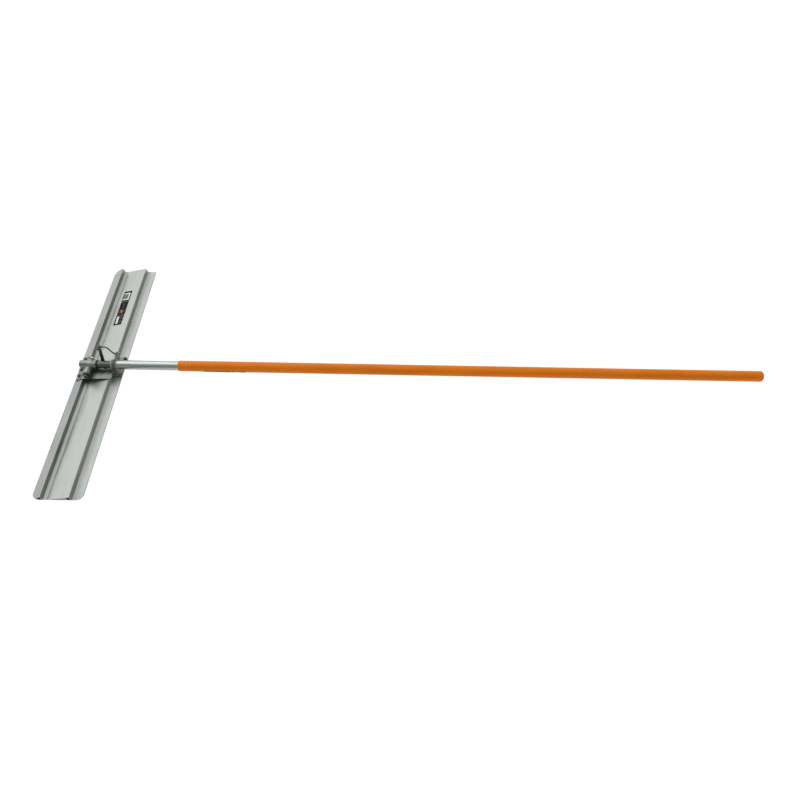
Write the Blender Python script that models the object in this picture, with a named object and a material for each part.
"""Bull float: a wide aluminium blade, a tilting pivot bracket and a long push pole.

Units are metres and Z is up. The origin is the middle of the blade's flat sole.
+X runs along the pole, away from the blade, and +Y runs along the blade's length.
Turning the pole about its own axis swings a crank, and a link from the crank to a
post on the blade makes the whole pole tilt, which sets the blade's pitch.
"""
import math

import bmesh
import bpy
from mathutils import Matrix, Vector

MM = 0.001
GAP = 0.3 * MM              # clearance between pieces that touch on the real float

# Driving dimensions -----------------------------------------------------------------
BLADE_W = 197 * MM          # across the blade, along X
BLADE_L = 1219 * MM         # along the blade, along Y (48 in)
SOLE_T = 3.0 * MM           # sole plate of the hollow extrusion
SKIN_T = 2.4 * MM           # walls above the sole
RIDGE_H = 25 * MM           # height of both ridges above the slab
CORNER_R = 28 * MM          # plan radius of the blade's corners
SQUARE_CORNER_R = 6 * MM    # the one corner that is left nearly square

POLE_Z = 57 * MM            # height of the pole's axis above the middle of the sole
POLE_R = 22.75 * MM         # outside radius of the painted pole
POLE_BORE_R = 20.3 * MM
POLE_START = 352 * MM       # along the pole axis, from the middle of the blade
POLE_END = 2792 * MM        # end of the tube (8 ft pole)
CAP_DOME = 13 * MM
TILT = math.asin((POLE_Z - POLE_R) / (POLE_END + CAP_DOME))   # far end lies on the floor

HINGE_X = -32 * MM          # pitch axis, along Y
HINGE_Z = 48 * MM
BARREL_R = 15.5 * MM
BARREL_Y = (-46 * MM, 26 * MM)

TUBE_R = 19.7 * MM          # bright zinc tube between the bracket and the pole
TUBE_BORE_R = 17.9 * MM
TUBE_SPAN = (66 * MM, 462 * MM)

LINK_Y = 45.4 * MM          # plane in which the link swings
LINK_TOP = (23 * MM, 120 * MM)     # X and Z of the link's pivot on the post
ROD_R = 3.0 * MM
CRANK_X = 80 * MM           # where the crank sits along the pole axis
CRANK_REACH = 48 * MM
CRANK_ANGLE = math.radians(19)     # rest angle above horizontal, on the +Y side

BUTTON_X = 390 * MM
BUTTON_LEAN = math.radians(35)     # from straight up towards -Y
BUTTON_R = 4.5 * MM
POST_SCREW = (8 * MM, 31 * MM)     # X and Y of the screw through the post's foot
RETAINER_X = -10 * MM              # screw that keeps the shaft in the housing

# Blade section: outline corners (x, z) from the lower left, anticlockwise ------------
LEFT = -BLADE_W / 2
RIGHT = BLADE_W / 2
PEAK_LEFT = -55.5 * MM
PEAK_RIGHT = 55.5 * MM
CREASE_LEFT = -38.4 * MM
CREASE_RIGHT = 73 * MM
VALLEY_Z = 3.4 * MM
STEP_Z = 6.0 * MM           # foot of each steep face
STEP_RUN = 4.5 * MM         # how far the steep face leans out
EDGE_RIGHT_Z = 5.0 * MM


def clear_scene():
    """Remove what is in the scene, so that only the float is built."""
    for old in list(bpy.data.objects):
        bpy.data.objects.remove(old, do_unlink=True)


def srgb(hex_colour):
    """Turn an sRGB hex colour into linear RGBA."""
    values = [int(hex_colour[i:i + 2], 16) / 255 for i in (0, 2, 4)]
    linear = [v / 12.92 if v <= 0.04045 else ((v + 0.055) / 1.055) ** 2.4 for v in values]
    return (*linear, 1.0)


def material(name, hex_colour, metallic, roughness):
    """A plain Principled material."""
    made = bpy.data.materials.new(name)
    made.use_nodes = True
    shader = made.node_tree.nodes["Principled BSDF"]
    shader.inputs["Base Color"].default_value = srgb(hex_colour)
    shader.inputs["Metallic"].default_value = metallic
    shader.inputs["Roughness"].default_value = roughness
    return made


def place(name, mesh, finish, parent=None):
    """Make the named object for a mesh."""
    mesh.materials.append(finish)
    made = bpy.data.objects.new(name, mesh)
    bpy.context.scene.collection.objects.link(made)
    made.parent = parent
    return made


def empty(name, location, rotation=(0, 0, 0)):
    """An empty that marks a joint's axis and carries the pieces that turn on it."""
    made = bpy.data.objects.new(name, None)
    bpy.context.scene.collection.objects.link(made)
    made.location = location
    made.rotation_euler = rotation
    return made


def rounded(points, radii, steps=4):
    """Swap each outline corner for an arc of the given radius (0 keeps it sharp)."""
    outline = []
    count = len(points)
    for index, corner in enumerate(points):
        here = Vector(corner)
        before = (Vector(points[index - 1]) - here).normalized()
        after = (Vector(points[(index + 1) % count]) - here).normalized()
        radius = radii[index]
        if radius <= 0:
            outline.append(tuple(here))
            continue
        half = before.angle(after) / 2
        centre = here + (before + after).normalized() * (radius / math.sin(half))
        reach = radius / math.tan(half)
        start = here + before * reach - centre
        end = here + after * reach - centre
        sweep = math.atan2(start.cross(end), start.dot(end))
        first = math.atan2(start.y, start.x)
        for step in range(steps + 1):
            angle = first + sweep * step / steps
            outline.append((centre.x + radius * math.cos(angle),
                            centre.y + radius * math.sin(angle)))
    return outline


def inset(points, distance):
    """Shrink a convex anticlockwise outline by the same distance on every side."""
    shrunk = []
    count = len(points)
    for index, corner in enumerate(points):
        here = Vector(corner)
        before = (here - Vector(points[index - 1])).normalized()
        after = (Vector(points[(index + 1) % count]) - here).normalized()
        inward_before = Vector((-before.y, before.x))
        inward_after = Vector((-after.y, after.x))
        middle = (inward_before + inward_after).normalized()
        shrunk.append(tuple(here + middle * (distance / middle.dot(inward_after))))
    return shrunk


def prism(points, low, high, plane="xz"):
    """Extrude a closed outline: in XZ along Y, in XY along Z or in YZ along X."""
    lift = {
        "xz": lambda a, b, c: (a, c, b),
        "xy": lambda a, b, c: (a, b, c),
        "yz": lambda a, b, c: (c, a, b),
    }[plane]
    bm = bmesh.new()
    bottom = [bm.verts.new(lift(a, b, low)) for a, b in points]
    top = [bm.verts.new(lift(a, b, high)) for a, b in points]
    bm.faces.new(bottom)
    bm.faces.new(top)
    for index in range(len(points)):
        follow = (index + 1) % len(points)
        bm.faces.new((bottom[index], bottom[follow], top[follow], top[index]))
    return finish_mesh(bm)


def finish_mesh(bm, smooth=False):
    """Turn a closed bmesh into a mesh whose faces point outwards."""
    bmesh.ops.recalc_face_normals(bm, faces=bm.faces)
    mesh = bpy.data.meshes.new("shape")
    bm.to_mesh(mesh)
    bm.free()
    if smooth:
        mesh.shade_smooth()
        mesh.set_sharp_from_angle(angle=math.radians(35))
    return mesh


def turned(profile, segments=32, turn=Matrix.Identity(4)):
    """Turn (distance along X, radius) points about X; a ring where none is on the axis."""
    bm = bmesh.new()
    rings = []
    for along, radius in profile:
        if radius == 0:
            rings.append([bm.verts.new((along, 0, 0))] * segments)
            continue
        ring = []
        for step in range(segments):
            angle = math.tau * step / segments
            ring.append(bm.verts.new((along, radius * math.cos(angle), radius * math.sin(angle))))
        rings.append(ring)
    hollow = all(radius > 0 for _, radius in profile)
    pairs = list(zip(rings, rings[1:]))
    if hollow:
        pairs.append((rings[-1], rings[0]))
    for first, second in pairs:
        for step in range(segments):
            follow = (step + 1) % segments
            corners = [first[step], first[follow], second[follow], second[step]]
            unique = list(dict.fromkeys(corners))
            bm.faces.new(unique)
    bm.transform(turn)
    return finish_mesh(bm, smooth=True)


def along(direction, origin):
    """A matrix that lays the X axis along a direction, from an origin."""
    turn = Vector(direction).to_track_quat("X", "Z").to_matrix().to_4x4()
    return Matrix.Translation(origin) @ turn


def rod(points, radius, segments=10):
    """A round bar along a smooth path, as a mesh with closed ends."""
    bm = bmesh.new()
    rings = []
    side = None
    for index, point in enumerate(points):
        before = Vector(points[max(index - 1, 0)])
        after = Vector(points[min(index + 1, len(points) - 1)])
        heading = (after - before).normalized()
        if side is None:
            side = heading.orthogonal().normalized()
        side = (side - heading * side.dot(heading)).normalized()
        other = heading.cross(side)
        ring = []
        for step in range(segments):
            angle = math.tau * step / segments
            offset = side * math.cos(angle) + other * math.sin(angle)
            ring.append(bm.verts.new(Vector(point) + offset * radius))
        rings.append(ring)
    for first, second in zip(rings, rings[1:]):
        for step in range(segments):
            follow = (step + 1) % segments
            bm.faces.new((first[step], first[follow], second[follow], second[step]))
    bm.faces.new(rings[0])
    bm.faces.new(rings[-1])
    return finish_mesh(bm, smooth=True)


def cut(target, mesh, operation="DIFFERENCE", parent=None, name="cutter"):
    """Cut, join or trim a piece with a helper solid that is not part of the float."""
    helper = bpy.data.objects.new(f"{target.name}_{name}", mesh)
    bpy.context.scene.collection.objects.link(helper)
    helper.parent = parent
    helper.hide_render = True
    helper.display_type = "WIRE"
    modifier = target.modifiers.new(name, "BOOLEAN")
    modifier.operation = operation
    modifier.object = helper
    modifier.solver = "EXACT"
    return helper


def box(low, high):
    """A box between two corners."""
    (x0, y0, z0), (x1, y1, z1) = low, high
    return prism([(x0, y0), (x1, y0), (x1, y1), (x0, y1)], z0, z1, "xy")


def hexagon(across_flats):
    """Corners of a hexagon, flats apart by the given width."""
    radius = across_flats / math.sqrt(3)
    return [(radius * math.cos(math.tau * k / 6), radius * math.sin(math.tau * k / 6))
            for k in range(6)]


def hex_screw(shank_r, shank_l, head_af, head_h, washer_r=0.0, washer_h=0.0, segments=16):
    """A hex screw along Z: its seat at z = 0, shank down, washer face and head up."""
    bm = bmesh.new()
    loops = []
    for radius, height in ((shank_r, -shank_l), (shank_r, 0.0)):
        loops.append([bm.verts.new((radius * math.cos(math.tau * k / segments),
                                    radius * math.sin(math.tau * k / segments), height))
                      for k in range(segments)])
    seat = max(washer_r, head_af * 0.47)
    for height in (0.0, max(washer_h, 0.4 * MM)):
        loops.append([bm.verts.new((seat * math.cos(math.tau * k / segments),
                                    seat * math.sin(math.tau * k / segments), height))
                      for k in range(segments)])
    for first, second in zip(loops, loops[1:]):
        for k in range(segments):
            n = (k + 1) % segments
            bm.faces.new((first[k], first[n], second[n], second[k]))
    bm.faces.new(loops[0])
    hexa = [bm.verts.new((x, y, loops[-1][0].co.z)) for x, y in hexagon(head_af)]
    rim = [bm.verts.new((x, y, head_h - 0.6 * MM)) for x, y in hexagon(head_af)]
    top = [bm.verts.new((x * 0.9, y * 0.9, head_h)) for x, y in hexagon(head_af)]
    for k in range(6):
        n = (k + 1) % 6
        bm.faces.new((hexa[k], hexa[n], rim[n], rim[k]))
        bm.faces.new((rim[k], rim[n], top[n], top[k]))
    bm.faces.new(top)
    edges = [e for e in bm.edges if e.is_boundary]
    bmesh.ops.bridge_loops(bm, edges=edges)
    return finish_mesh(bm)


# Finishes -----------------------------------------------------------------------------
clear_scene()
ALUMINIUM = material("milled_aluminium", "B9BCB8", 0.9, 0.42)
CAST = material("cast_aluminium", "7E807A", 0.7, 0.5)
ZINC = material("zinc_plated_steel", "B9BFBD", 1.0, 0.25)
DARK_STEEL = material("dark_steel", "4A4C48", 0.8, 0.45)
PLATE = material("bracket_plate_steel", "7C807C", 0.8, 0.45)
BLACK = material("black_rubber", "161616", 0.0, 0.6)
BRONZE = material("bronze_bush", "8A6A3C", 0.9, 0.4)
ORANGE = material("orange_paint", "E07B1F", 0.0, 0.3)
BRASS = material("button_brass", "C79A5B", 0.8, 0.35)
PLUG = material("grey_plug_plastic", "A9ABA8", 0.0, 0.55)
LABEL = material("label_vinyl", "111214", 0.0, 0.4)


def steep_x(foot_x, z):
    """X of a steep face at a height, from its foot."""
    return foot_x - (z - STEP_Z) * STEP_RUN / (RIDGE_H - STEP_Z)


FOOT_LEFT = PEAK_LEFT + STEP_RUN
FOOT_RIGHT = PEAK_RIGHT + STEP_RUN
FLANGE_SLOPE = (RIDGE_H - 3.2 * MM) / (PEAK_LEFT - LEFT)
PANEL_SLOPE = (RIDGE_H - VALLEY_Z) / (PEAK_RIGHT - CREASE_LEFT)


def flange_top(x):
    """Height of the left flange's upper face."""
    return 3.2 * MM + (x - LEFT) * FLANGE_SLOPE


def panel_top(x):
    """Height of the middle panel's upper face."""
    return VALLEY_Z + (x - CREASE_LEFT) * PANEL_SLOPE


def right_top(x):
    """Height of the right flange's upper face."""
    return VALLEY_Z + (x - CREASE_RIGHT) * (EDGE_RIGHT_Z - VALLEY_Z) / (RIGHT - CREASE_RIGHT)


def blade_outline():
    """The blade's section, with small rounds on its ridges."""
    points = [
        (LEFT, 0), (RIGHT, 0), (RIGHT, EDGE_RIGHT_Z), (CREASE_RIGHT, VALLEY_Z),
        (FOOT_RIGHT, STEP_Z), (PEAK_RIGHT, RIDGE_H), (CREASE_LEFT, VALLEY_Z),
        (FOOT_LEFT, STEP_Z), (PEAK_LEFT, RIDGE_H), (LEFT, 3.2 * MM),
    ]
    radii = [0.8, 0.8, 1.2, 0, 2.0, 1.6, 0, 2.0, 1.6, 1.0]
    return rounded(points, [r * MM for r in radii], 3)


def cell(x0, x1, top, right_wall=None):
    """A hollow cell's section between two walls, below a sloping skin."""
    skin = SKIN_T * 1.06
    if right_wall is None:
        return [(x0, SOLE_T), (x1, SOLE_T), (x1, top(x1) - skin), (x0, top(x0) - skin)]
    wall = SKIN_T * 1.03
    high = RIDGE_H - 3.6 * MM
    low_x = steep_x(right_wall, SOLE_T) - wall
    high_x = steep_x(right_wall, high) - wall
    skin_x = high_x - 2.2 * MM
    return [(x0, SOLE_T), (low_x, SOLE_T), (high_x, high),
            (skin_x, min(high, top(skin_x) - skin)), (x0, top(x0) - skin)]


CELLS = {
    "flange": cell(-89 * MM, -72.5 * MM, flange_top),
    "left_ridge": cell(-70.2 * MM, 0, flange_top, FOOT_LEFT),
    "panel": cell(-20 * MM, 38.5 * MM, panel_top),
    "right_ridge": cell(40.8 * MM, 0, panel_top, FOOT_RIGHT),
}


def plan_outline(inset=0.0):
    """The blade's outline from above, with its rounded corners."""
    x, y = BLADE_W / 2 - inset, BLADE_L / 2 - inset
    corners = [(-x, -y), (x, -y), (x, y), (-x, y)]
    return rounded(corners, [CORNER_R, CORNER_R, SQUARE_CORNER_R, CORNER_R], 8)


# Saddle plate: where it is screwed down ------------------------------------------------
PLATE_T = 3.5 * MM
LEG_X = (63 * MM, 66.5 * MM)       # the leg that reaches down to the right flange
SCREW_HOLE_R = 3.6 * MM
SLOPE = math.atan(FLANGE_SLOPE)
LEFT_SCREWS = [(-80 * MM, -30 * MM), (-80 * MM, 4 * MM), (-80 * MM, 60 * MM)]
RIGHT_SCREWS = [(86 * MM, -13 * MM), (90 * MM, 68 * MM)]


def left_screw_frame(x, y):
    """Seat of a screw on the plate's left wing, square to the sloping flange."""
    normal = Vector((-math.sin(SLOPE), 0, math.cos(SLOPE)))
    seat = Vector((x, y, flange_top(x))) + normal * (PLATE_T + 2 * GAP)
    return Matrix.Translation(seat) @ Matrix.Rotation(-SLOPE, 4, "Y")


def right_screw_frame(x, y):
    """Seat of a screw on the plate's right foot."""
    return Matrix.Translation((x, y, EDGE_RIGHT_Z + PLATE_T + 3 * GAP))


def screw_holes(target):
    """Drill the saddle screws' holes through a piece."""
    for number, (x, y) in enumerate(LEFT_SCREWS, 1):
        hole = turned([(-12 * MM, 0), (-12 * MM, SCREW_HOLE_R), (6 * MM, SCREW_HOLE_R),
                       (6 * MM, 0)], 16, Matrix.Rotation(-math.pi / 2, 4, "Y"))
        hole.transform(left_screw_frame(x, y))
        cut(target, hole, name=f"left_hole_{number}")
    for number, (x, y) in enumerate(RIGHT_SCREWS, 1):
        hole = turned([(-7.8 * MM, 0), (-7.8 * MM, SCREW_HOLE_R), (6 * MM, SCREW_HOLE_R),
                       (6 * MM, 0)], 16, Matrix.Rotation(-math.pi / 2, 4, "Y"))
        hole.transform(right_screw_frame(x, y))
        cut(target, hole, name=f"right_hole_{number}")


def make_blade():
    """The hollow extruded blade."""
    half = BLADE_L / 2
    blade = place("blade", prism(blade_outline(), -half - 5 * MM, half + 5 * MM), ALUMINIUM)
    cut(blade, prism(plan_outline(), -5 * MM, 60 * MM, "xy"), "INTERSECT", name="plan")
    for name, section in CELLS.items():
        cut(blade, prism(section, -half - 10 * MM, half + 10 * MM), name=name)
    screw_holes(blade)


def make_end_plugs():
    """Plastic plugs that close the two shallow cells at both ends."""
    half = BLADE_L / 2
    depth = 22 * MM
    for name in ("flange", "panel"):
        section = CELLS[name]
        fit = inset(section, GAP)
        for end, low, high in (("near", -half, -half + depth), ("far", half - depth, half)):
            plug = place(f"{name}_plug_{end}", prism(fit, low, high), PLUG)
            cut(plug, prism(plan_outline(0.2 * MM), -5 * MM, 60 * MM, "xy"), "INTERSECT",
                name="plan")


def make_blade_label():
    """The long sticker on the middle panel, near the far end."""
    turn = Matrix.Rotation(-math.atan(PANEL_SLOPE), 4, "Y")
    width, length, thick = 39 * MM, 210 * MM, 0.3 * MM
    outline = rounded([(-width / 2, -length / 2), (width / 2, -length / 2),
                       (width / 2, length / 2), (-width / 2, length / 2)], [3 * MM] * 4, 3)
    label = place("blade_label", prism(outline, 0, thick, "xy"), LABEL)
    x, y = 3.4 * MM, 366 * MM
    lift = 0.35 * MM
    label.data.transform(Matrix.Translation((x, y, panel_top(x) + lift)) @ turn)


def make_saddle_plate():
    """The bent plate that sits on both ridges and is screwed to both flanges."""
    top = RIDGE_H + GAP
    normal = Vector((-math.sin(SLOPE), math.cos(SLOPE)))
    wing_in = Vector((PEAK_LEFT - 3 * MM, flange_top(PEAK_LEFT - 3 * MM))) + normal * 2 * GAP
    wing_out = Vector((-89 * MM, flange_top(-89 * MM))) + normal * 2 * GAP
    left_wing = [tuple(wing_out), tuple(wing_in), tuple(wing_in + normal * PLATE_T),
                 tuple(wing_out + normal * PLATE_T)]
    plate = place("saddle_plate",
                  prism(rounded([(-61 * MM, top), (LEG_X[1], top), (LEG_X[1], top + PLATE_T),
                                 (-61 * MM, top + PLATE_T)], [0, 0, 1 * MM, 0], 2),
                        -54 * MM, 44 * MM), PLATE)
    foot = EDGE_RIGHT_Z + 3 * GAP
    cut(plate, prism(left_wing, -54 * MM, 70 * MM), "UNION", name="left_wing")
    cut(plate, box((LEG_X[0], -26 * MM, foot), (LEG_X[1] + 0.1 * MM, 44 * MM, top + PLATE_T / 2)),
        "UNION", name="right_leg")
    cut(plate, box((LEG_X[0], -26 * MM, foot), (98 * MM, 78 * MM, foot + PLATE_T)),
        "UNION", name="right_foot")
    screw_holes(plate)
    post_hole = turned([(-9 * MM, 0), (-9 * MM, 2.8 * MM), (9 * MM, 2.8 * MM), (9 * MM, 0)],
                       12, along((0, 0, 1), POST_SCREW + (top,)))
    cut(plate, post_hole, name="post_hole")


def make_saddle_screws():
    """Plated hex screws: three on the left wing, two on the right foot."""
    for number, (x, y) in enumerate(LEFT_SCREWS, 1):
        mesh = hex_screw(3.2 * MM, 8 * MM, 12 * MM, 7 * MM, 7.5 * MM, 1.4 * MM)
        mesh.transform(left_screw_frame(x, y) @ Matrix.Translation((0, 0, GAP)))
        place(f"saddle_screw_left_{number}", mesh, ZINC)
    for number, (x, y) in enumerate(RIGHT_SCREWS, 1):
        mesh = hex_screw(3.2 * MM, 7 * MM, 12 * MM, 7 * MM, 6.8 * MM, 1.4 * MM)
        mesh.transform(right_screw_frame(x, y) @ Matrix.Translation((0, 0, GAP)))
        place(f"saddle_screw_right_{number}", mesh, ZINC if number == 1 else BLACK)


# Hinge: two ears, a bolt, a nut and washers --------------------------------------------
EAR_T = 4.5 * MM
EAR_R = 15 * MM
BOLT_R = 5.8 * MM
EAR_NEAR_Y = BARREL_Y[0] - 0.6 * MM - EAR_T
EAR_FAR_Y = BARREL_Y[1] + 0.6 * MM
PLATE_TOP = RIDGE_H + GAP + PLATE_T


def ear(name, y, foot_low, foot_high):
    """An upright ear with a round top and a welded foot flange along the plate."""
    z0 = PLATE_TOP + GAP
    points = [(HINGE_X - EAR_R, z0), (HINGE_X + EAR_R, z0), (HINGE_X + EAR_R, HINGE_Z)]
    for step in range(1, 12):
        angle = math.pi * step / 12
        points.append((HINGE_X + EAR_R * math.cos(angle), HINGE_Z + EAR_R * math.sin(angle)))
    points.append((HINGE_X - EAR_R, HINGE_Z))
    made = place(name, prism(points, y, y + EAR_T), DARK_STEEL)
    if foot_high > foot_low:
        foot = box((HINGE_X - EAR_R + 1 * MM, foot_low, z0),
                   (HINGE_X + EAR_R - 1 * MM, foot_high, z0 + 1.2 * MM))
        cut(made, foot, "UNION", name="foot")
    bore = turned([(-9 * MM, 0), (-9 * MM, BOLT_R + GAP), (9 * MM, BOLT_R + GAP), (9 * MM, 0)],
                  24, along((0, 1, 0), (HINGE_X, y, HINGE_Z)))
    cut(made, bore, name="bore")
    return made


def make_hinge():
    """Ears on the plate and the bolt that the housing turns on."""
    ear("hinge_ear_near", EAR_NEAR_Y, 0, 0)
    ear("hinge_ear_far", EAR_FAR_Y, EAR_FAR_Y + EAR_T - 0.5 * MM, EAR_FAR_Y + EAR_T + 5 * MM)
    near, far = EAR_NEAR_Y, EAR_FAR_Y + EAR_T
    washer = [(0, BOLT_R + GAP), (2 * MM, BOLT_R + GAP), (2 * MM, 13 * MM), (0, 13 * MM)]
    seat_near = near - GAP - 2 * MM
    place("hinge_washer_near", turned(washer, 28, along((0, 1, 0), (HINGE_X, seat_near, HINGE_Z))),
          BLACK)
    place("hinge_washer_far", turned([(a, 12 * MM if r > 10 * MM else r) for a, r in washer], 28,
                                     along((0, 1, 0), (HINGE_X, far + GAP, HINGE_Z))), ZINC)
    shank = far + 16 * MM - (seat_near - GAP)
    bolt = hex_screw(BOLT_R, shank, 17 * MM, 7.5 * MM, 8.3 * MM, 0.6 * MM, 24)
    bolt.transform(Matrix.Translation((HINGE_X, seat_near - GAP, HINGE_Z))
                   @ Matrix.Rotation(math.pi / 2, 4, "X"))
    place("hinge_bolt", bolt, DARK_STEEL)
    nut = place("hinge_nut", prism(hexagon(17 * MM), 0, 9 * MM, "xy"), ZINC)
    nut.data.transform(Matrix.Translation((HINGE_X, far + 2 * MM + 2 * GAP, HINGE_Z))
                       @ Matrix.Rotation(-math.pi / 2, 4, "X"))
    bore = turned([(-9 * MM, 0), (-9 * MM, BOLT_R + GAP), (29 * MM, BOLT_R + GAP), (29 * MM, 0)],
                  24, along((0, 1, 0), (HINGE_X, far, HINGE_Z)))
    cut(nut, bore, name="bore")


# Post and its pivot pin ----------------------------------------------------------------
POST_Y = 37.6 * MM
POST_T = 4 * MM
PIN_R = 3 * MM


def make_post():
    """The bent flat bar that stands beside the shaft and holds the link's pivot pin."""
    x, z = LINK_TOP
    z0 = PLATE_TOP + GAP
    low = POST_SCREW[0]     # the post leans from its foot towards the crank
    upright = [(low - 7.5 * MM, z0), (low + 7.5 * MM, z0), (x + 5.5 * MM, z - 12 * MM),
               (x + 5 * MM, z + 7 * MM), (x - 5 * MM, z + 7 * MM), (x - 5.5 * MM, z - 12 * MM)]
    post = place("link_post", prism(upright, POST_Y, POST_Y + POST_T), DARK_STEEL)
    foot = box((low - 7.5 * MM, 24 * MM, z0), (low + 7.5 * MM, POST_Y + 1 * MM, z0 + POST_T))
    cut(post, foot, "UNION", name="foot")
    bore = turned([(-5 * MM, 0), (-5 * MM, PIN_R + GAP), (15 * MM, PIN_R + GAP), (15 * MM, 0)],
                  16, along((0, 1, 0), (x, POST_Y, z)))
    cut(post, bore, name="pin_bore")
    hole = turned([(-5 * MM, 0), (-5 * MM, 2.8 * MM), (12 * MM, 2.8 * MM), (12 * MM, 0)],
                  12, along((0, 0, 1), POST_SCREW + (z0,)))
    cut(post, hole, name="screw_hole")
    screw = hex_screw(2.5 * MM, 7 * MM, 8 * MM, 4.5 * MM, 4.6 * MM, 0.8 * MM, 12)
    screw.transform(Matrix.Translation(POST_SCREW + (z0 + POST_T + GAP,)))
    place("post_screw", screw, ZINC)
    pin = [(-1.6 * MM, 0), (-1.6 * MM, 5 * MM), (0, 5 * MM), (0, PIN_R), (23 * MM, PIN_R),
           (24 * MM, PIN_R - 1 * MM), (24 * MM, 0)]
    place("post_pin", turned(pin, 16, along((0, 1, 0), (x, POST_Y - 8 * MM, z))), DARK_STEEL)
    collar = [(0, PIN_R + GAP), (5 * MM, PIN_R + GAP), (5 * MM, 5 * MM), (0, 5 * MM)]
    place("post_pin_spacer", turned(collar, 16, along((0, 1, 0), (x, POST_Y - 5.4 * MM, z))),
          DARK_STEEL)
    keeper = [(0, PIN_R + GAP), (1.6 * MM, PIN_R + GAP), (1.6 * MM, 5 * MM), (0, 5 * MM)]
    place("post_pin_clip", turned(keeper, 16, along((0, 1, 0), (x, LINK_Y + 3.2 * MM, z))), ZINC)


# Tilting housing and the turning handle -------------------------------------------------
SLEEVE_R = 18 * MM
SLEEVE_SPAN = (-69 * MM, 3 * MM)
BORE_R = 13 * MM
BORE_DEPTH_X = -22 * MM
SHAFT_R = 15 * MM
STUB_R = 11 * MM


def make_housing(pole_axis):
    """The cast housing: a closed sleeve for the shaft and a cross barrel for the hinge."""
    x0, x1 = SLEEVE_SPAN
    round_end = [(x0, 0), (x0, SLEEVE_R - 7 * MM)]
    for step in range(1, 5):
        angle = math.pi / 2 * step / 4
        round_end.append((x0 + 7 * MM * (1 - math.cos(angle)),
                          SLEEVE_R - 7 * MM + 7 * MM * math.sin(angle)))
    profile = round_end + [(x1 - 1 * MM, SLEEVE_R), (x1, SLEEVE_R - 1 * MM), (x1, 0)]
    housing = place("pivot_housing", turned(profile, 40), CAST, pole_axis)
    barrel = turned([(BARREL_Y[0], 0), (BARREL_Y[0], BARREL_R - 1 * MM),
                     (BARREL_Y[0] + 1 * MM, BARREL_R), (BARREL_Y[1] - 1 * MM, BARREL_R),
                     (BARREL_Y[1], BARREL_R - 1 * MM), (BARREL_Y[1], 0)], 32,
                    along((0, 1, 0), (HINGE_X, 0, HINGE_Z)))
    cut(housing, barrel, "UNION", name="barrel")
    cut(housing, turned([(BORE_DEPTH_X, 0), (BORE_DEPTH_X, BORE_R), (20 * MM, BORE_R),
                         (20 * MM, 0)], 32), parent=pole_axis, name="shaft_bore")
    bush_bore = BOLT_R + 2.4 * MM
    cut(housing, turned([(-60 * MM, 0), (-60 * MM, bush_bore), (60 * MM, bush_bore),
                         (60 * MM, 0)], 28, along((0, 1, 0), (HINGE_X, 0, HINGE_Z))),
        name="hinge_bore")
    cut(housing, turned([(9 * MM, 0), (9 * MM, 3.3 * MM), (30 * MM, 3.3 * MM), (30 * MM, 0)],
                        14, along((0, 0, 1), (RETAINER_X, 0, 0))), parent=pole_axis,
        name="retainer_hole")
    for name, start in (("near", BARREL_Y[0]), ("far", BARREL_Y[1] - 24 * MM)):
        bush = [(0, BOLT_R + GAP), (24 * MM, BOLT_R + GAP), (24 * MM, bush_bore - GAP),
                (0, bush_bore - GAP)]
        place(f"hinge_bush_{name}",
              turned(bush, 28, along((0, 1, 0), (HINGE_X, start, HINGE_Z))), BRONZE)
    bush = [(BORE_DEPTH_X + 1 * MM, STUB_R + GAP), (7.2 * MM, STUB_R + GAP), (7.2 * MM, 18.6 * MM),
            (x1 + GAP, 18.6 * MM), (x1 + GAP, BORE_R - GAP), (BORE_DEPTH_X + 1 * MM, BORE_R - GAP)]
    shaft_bush = place("shaft_bush", turned(bush, 36), BLACK, pole_axis)
    cut(shaft_bush, turned([(9 * MM, 0), (9 * MM, 3.3 * MM), (30 * MM, 3.3 * MM), (30 * MM, 0)],
                           14, along((0, 0, 1), (RETAINER_X, 0, 0))), parent=pole_axis,
        name="retainer_hole")
    peg = [(9.6 * MM, 0), (9.6 * MM, 2.6 * MM), (17.2 * MM, 2.6 * MM), (17.2 * MM, 0)]
    place("shaft_retaining_screw", turned(peg, 14, along((0, 0, 1), (RETAINER_X, 0, 0))),
          DARK_STEEL, pole_axis)


def make_shaft(pole_axis):
    """The turning shaft: stub in the bush, thick middle and a spigot in the zinc tube."""
    profile = [
        (BORE_DEPTH_X + 1.5 * MM, 0), (BORE_DEPTH_X + 1.5 * MM, STUB_R - 1 * MM),
        (BORE_DEPTH_X + 2.5 * MM, STUB_R), (RETAINER_X - 3.2 * MM, STUB_R),
        (RETAINER_X - 3.2 * MM, 9 * MM), (RETAINER_X + 3.2 * MM, 9 * MM),
        (RETAINER_X + 3.2 * MM, STUB_R), (7.5 * MM, STUB_R), (7.5 * MM, SHAFT_R - 1 * MM),
        (8.5 * MM, SHAFT_R), (TUBE_SPAN[0] - 3 * MM, SHAFT_R), (TUBE_SPAN[0] - 3 * MM, 17.5 * MM),
        (128 * MM, 17.5 * MM), (130 * MM, 15.5 * MM), (130 * MM, 0),
    ]
    shaft = place("drive_shaft", turned(profile, 36), DARK_STEEL, pole_axis)
    hole = turned([(10 * MM, 0), (10 * MM, 3.3 * MM), (25 * MM, 3.3 * MM), (25 * MM, 0)], 14,
                  along((0, -0.45, -0.89), (36 * MM, 0, 0)))
    cut(shaft, hole, parent=pole_axis, name="pin_hole")
    pin = [(11 * MM, 0), (11 * MM, 2.7 * MM), (16 * MM, 2.7 * MM), (16 * MM, 5 * MM),
           (19.5 * MM, 4.2 * MM), (19.5 * MM, 0)]
    place("shaft_stop_pin", turned(pin, 14, along((0, -0.45, -0.89), (36 * MM, 0, 0))), BLACK,
          pole_axis)


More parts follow.
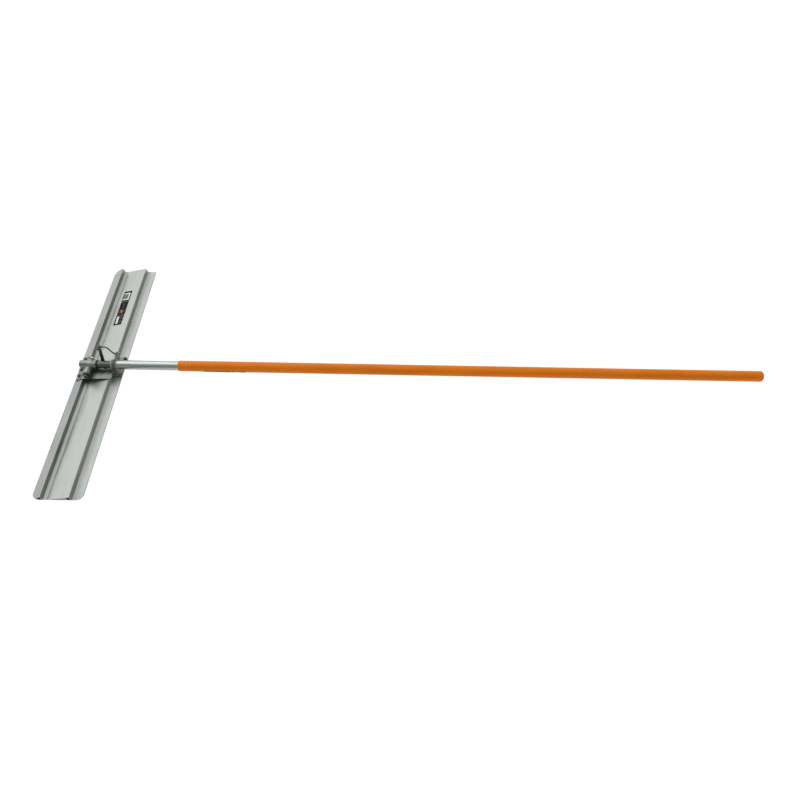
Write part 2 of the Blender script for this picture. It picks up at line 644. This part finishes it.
COLLARS = [("collar_inner", 68.2 * MM), ("collar_outer", 84.6 * MM)]
COLLAR_W = 7.4 * MM
COLLAR_R = 22 * MM
CRANK_T = 6 * MM


def make_collars(pole_axis):
    """Two ribbed clamp collars on the zinc tube, one on each side of the crank."""
    for name, x in COLLARS:
        lip = 1.4 * MM
        profile = [(x, TUBE_R + GAP), (x + COLLAR_W, TUBE_R + GAP), (x + COLLAR_W, COLLAR_R - lip),
                   (x + COLLAR_W - lip, COLLAR_R), (x + lip, COLLAR_R), (x, COLLAR_R - lip)]
        place(name, turned(profile, 36), CAST, pole_axis)


def make_crank(pole_axis):
    """The slotted crank: a ring clamped on the tube, with an arm that the link works in."""
    x0, x1 = CRANK_X - CRANK_T / 2, CRANK_X + CRANK_T / 2
    ring = place("crank_arm", turned([(x0, TUBE_R + GAP), (x1, TUBE_R + GAP), (x1, 23.5 * MM),
                                      (x0, 23.5 * MM)], 36), DARK_STEEL, pole_axis)
    reach, wide = CRANK_REACH, 9 * MM
    arm = [(20.6 * MM, -9 * MM), (reach, -wide)]
    for step in range(1, 8):
        angle = -math.pi / 2 + math.pi * step / 8
        arm.append((reach + wide * math.cos(angle), wide * math.sin(angle)))
    arm += [(reach, wide), (20.6 * MM, 9 * MM)]
    body = prism(arm, x0, x1, "yz")
    turn = Matrix.Rotation(CRANK_ANGLE, 4, "X")
    body.transform(turn)
    cut(ring, body, "UNION", parent=pole_axis, name="arm")
    slot_r, slot_half = 4.4 * MM, 2.2 * MM
    slot = []
    for step in range(9):
        angle = -math.pi / 2 + math.pi * step / 8
        slot.append((reach + slot_half + slot_r * math.cos(angle), slot_r * math.sin(angle)))
    for step in range(9):
        angle = math.pi / 2 + math.pi * step / 8
        slot.append((reach - slot_half + slot_r * math.cos(angle), slot_r * math.sin(angle)))
    hole = prism(slot, x0 - 5 * MM, x1 + 5 * MM, "yz")
    hole.transform(turn)
    cut(ring, hole, parent=pole_axis, name="slot")
    bore = turned([(x0 - 5 * MM, 0), (x0 - 5 * MM, TUBE_R + GAP), (x1 + 5 * MM, TUBE_R + GAP),
                   (x1 + 5 * MM, 0)], 36)
    cut(ring, bore, parent=pole_axis, name="bore")


def make_link():
    """The bent link rod from the post's pin to the crank's slot, and its hitch clip."""
    x, z = LINK_TOP
    end_z = POLE_Z - CRANK_X * math.tan(TILT) + CRANK_REACH * math.sin(CRANK_ANGLE)
    route = [(x + 6.2 * MM, z - 0.6 * MM), (x + 16 * MM, z - 2.2 * MM), (x + 25 * MM, z - 4 * MM),
             (x + 28 * MM, z - 5.6 * MM), (x + 30.5 * MM, z - 8.6 * MM),
             (x + 44 * MM, end_z + 9 * MM), (x + 46.5 * MM, end_z + 4.6 * MM),
             (x + 49 * MM, end_z + 1.6 * MM), (x + 52 * MM, end_z + 0.2 * MM),
             (x + 55 * MM, end_z), (x + 73 * MM, end_z)]
    path = [(px, LINK_Y, pz) for px, pz in route]
    link = place("link_rod", rod(path, ROD_R, 12), DARK_STEEL)
    eye = turned([(-2.4 * MM, 0), (-2.4 * MM, 7.4 * MM), (2.4 * MM, 7.4 * MM), (2.4 * MM, 0)], 24,
                 along((0, 1, 0), (x, LINK_Y, z)))
    cut(link, eye, "UNION", name="eye")
    bore = turned([(-5 * MM, 0), (-5 * MM, PIN_R + 2 * GAP), (5 * MM, PIN_R + 2 * GAP),
                   (5 * MM, 0)], 20, along((0, 1, 0), (x, LINK_Y, z)))
    cut(link, bore, name="bore")
    hole = turned([(-6 * MM, 0), (-6 * MM, 1.6 * MM), (6 * MM, 1.6 * MM), (6 * MM, 0)], 12,
                  along((0, 1, 0), (x + 68 * MM, LINK_Y, end_z)))
    cut(link, hole, name="clip_hole")
    clip_path = [(x + 68 * MM, LINK_Y + 7 * MM, end_z), (x + 68 * MM, LINK_Y - 8 * MM, end_z)]
    for step in range(1, 8):
        angle = math.pi * step / 8
        clip_path.append((x + 68 * MM, LINK_Y - 8 * MM - 6 * MM * math.sin(angle),
                          end_z + 4 * MM - 4 * MM * math.cos(angle)))
    clip_path.append((x + 68 * MM, LINK_Y - 5 * MM, end_z + 8 * MM))
    clip_path.append((x + 68 * MM, LINK_Y + 6 * MM, end_z + 5.2 * MM))
    place("hitch_clip", rod(clip_path, 1.2 * MM, 8), ZINC)


def make_tube(pole_axis):
    """The bright zinc tube that carries the pole."""
    x0, x1 = TUBE_SPAN
    profile = [(x0, TUBE_BORE_R), (x1, TUBE_BORE_R), (x1, TUBE_R - 0.5 * MM),
               (x1 - 0.5 * MM, TUBE_R), (x0 + 0.5 * MM, TUBE_R), (x0, TUBE_R - 0.5 * MM)]
    tube = place("zinc_tube", turned(profile, 40), ZINC, pole_axis)
    cut(tube, button_cutter(BUTTON_R + 0.4 * MM), parent=pole_axis, name="button_hole")


BUTTON_DIRECTION = Vector((0, -math.sin(BUTTON_LEAN), math.cos(BUTTON_LEAN)))


def button_cutter(radius):
    """The hole that the snap button comes through."""
    return turned([(12 * MM, 0), (12 * MM, radius), (30 * MM, radius), (30 * MM, 0)], 20,
                  along(BUTTON_DIRECTION, (BUTTON_X, 0, 0)))


def make_pole(pole_axis):
    """The painted pole, its round end cap and its sticker."""
    x0, x1 = POLE_START, POLE_END
    profile = [(x0, POLE_BORE_R), (x1, POLE_BORE_R), (x1, POLE_R)]
    for step in range(5):
        angle = math.pi / 2 * step / 4
        edge = 2.2 * MM
        profile.append((x0 + edge * (1 - math.sin(angle)), POLE_R - edge * (1 - math.cos(angle))))
    pole = place("push_pole", turned(profile, 48), ORANGE, pole_axis)
    cut(pole, button_cutter(BUTTON_R + 0.6 * MM), parent=pole_axis, name="button_hole")
    dome = [(x1 - 40 * MM, 0), (x1 - 40 * MM, POLE_BORE_R - 1.2 * MM),
            (x1 - 38 * MM, POLE_BORE_R - GAP), (x1 + GAP, POLE_BORE_R - GAP), (x1 + GAP, POLE_R)]
    for step in range(1, 9):
        angle = math.pi / 2 * step / 8
        dome.append((x1 + GAP + (CAP_DOME - GAP) * math.sin(angle),
                     POLE_R * math.cos(angle) if step < 8 else 0))
    place("pole_end_cap", turned(dome, 48), ORANGE, pole_axis)
    make_pole_label(pole_axis)


def make_pole_label(pole_axis):
    """A thin black sticker wrapped part of the way round the pole's near side."""
    x0, x1 = 462 * MM, 636 * MM
    inner, outer = POLE_R + 0.35 * MM, POLE_R + 0.65 * MM
    middle, half_turn, steps = math.radians(-62), math.radians(20), 8
    bm = bmesh.new()
    rows = []
    for x in (x0, x1):
        row = []
        for radius in (inner, outer):
            row.append([])
            for step in range(steps + 1):
                angle = middle + half_turn * (2 * step / steps - 1) - math.pi / 2
                row[-1].append(bm.verts.new((x, radius * math.cos(angle),
                                             radius * math.sin(angle))))
        rows.append(row)
    (in0, out0), (in1, out1) = rows
    for k in range(steps):
        bm.faces.new((out0[k], out0[k + 1], out1[k + 1], out1[k]))
        bm.faces.new((in0[k], in1[k], in1[k + 1], in0[k + 1]))
        bm.faces.new((in0[k], in0[k + 1], out0[k + 1], out0[k]))
        bm.faces.new((in1[k], out1[k], out1[k + 1], in1[k + 1]))
    bm.faces.new((in0[0], out0[0], out1[0], in1[0]))
    bm.faces.new((in0[-1], in1[-1], out1[-1], out0[-1]))
    place("pole_label", finish_mesh(bm, smooth=True), LABEL, pole_axis)


def make_button(pole_axis):
    """The spring-loaded snap button that locks the pole on the tube."""
    frame = along(BUTTON_DIRECTION, (BUTTON_X, 0, 0))
    cup = 3.2 * MM
    inside = [(13.2 * MM, cup), (22.2 * MM, cup), (22.2 * MM, 0)]
    outer = [(24.9 * MM, 0), (24.8 * MM, 1.6 * MM), (24.3 * MM, 3.1 * MM), (23.4 * MM, 4.1 * MM),
             (22.4 * MM, BUTTON_R), (14.8 * MM, BUTTON_R), (14.8 * MM, 6 * MM), (13.2 * MM, 6 * MM)]
    place("snap_button", cup_turned(inside, outer, 24, frame), BRASS, pole_axis)
    turns, radius, wire = 4, 2.2 * MM, 0.4 * MM
    low, high = 6.0 * MM, 15.6 * MM
    coil = []
    for step in range(turns * 10 + 1):
        angle = math.tau * step / 10
        rise = low + (high - low) * step / (turns * 10)
        coil.append(frame @ Vector((rise, radius * math.cos(angle), radius * math.sin(angle))))
    place("button_spring", rod(coil, wire, 6), ZINC, pole_axis)
    clip = box((-14 * MM, -7 * MM, 4.2 * MM), (14 * MM, 7 * MM, 5.4 * MM))
    lean = Matrix.Rotation(BUTTON_LEAN, 4, "X")
    carrier = place("spring_carrier", clip, ZINC, pole_axis)
    clip.transform(Matrix.Translation((BUTTON_X, 0, 0)) @ lean)
    for side in (-1, 1):
        leg = box((-14 * MM, side * 7 * MM - (1.2 * MM if side > 0 else 0), -15 * MM),
                  (14 * MM, side * 7 * MM + (1.2 * MM if side < 0 else 0), 5 * MM))
        leg.transform(Matrix.Translation((BUTTON_X, 0, 0)) @ lean)
        cut(carrier, leg, "UNION", parent=pole_axis, name=f"leg_{side}")


def cup_turned(inner, outer, segments, frame):
    """Turn a cup: an inner wall that ends on the axis and an outer wall that starts on it."""
    bm = bmesh.new()

    def ring(point):
        distance, radius = point
        if radius == 0:
            return [bm.verts.new((distance, 0, 0))]
        return [bm.verts.new((distance, radius * math.cos(math.tau * k / segments),
                              radius * math.sin(math.tau * k / segments)))
                for k in range(segments)]

    inner_rings = [ring(p) for p in inner]
    outer_rings = [ring(p) for p in outer]
    pairs = list(zip(inner_rings, inner_rings[1:])) + list(zip(outer_rings, outer_rings[1:]))
    pairs.append((outer_rings[-1], inner_rings[0]))
    for first, second in pairs:
        for k in range(segments):
            n = (k + 1) % segments
            corners = [first[k % len(first)], first[n % len(first)],
                       second[n % len(second)], second[k % len(second)]]
            bm.faces.new(list(dict.fromkeys(corners)))
    bm.transform(frame)
    return finish_mesh(bm, smooth=True)


POLE_AXIS = empty("pole_axis", (0, 0, POLE_Z), (0, TILT, 0))
make_blade()
make_end_plugs()
make_blade_label()
make_saddle_plate()
make_saddle_screws()
make_hinge()
make_post()
make_housing(POLE_AXIS)
make_shaft(POLE_AXIS)
make_collars(POLE_AXIS)
make_crank(POLE_AXIS)
make_link()
make_tube(POLE_AXIS)
make_pole(POLE_AXIS)
make_button(POLE_AXIS)
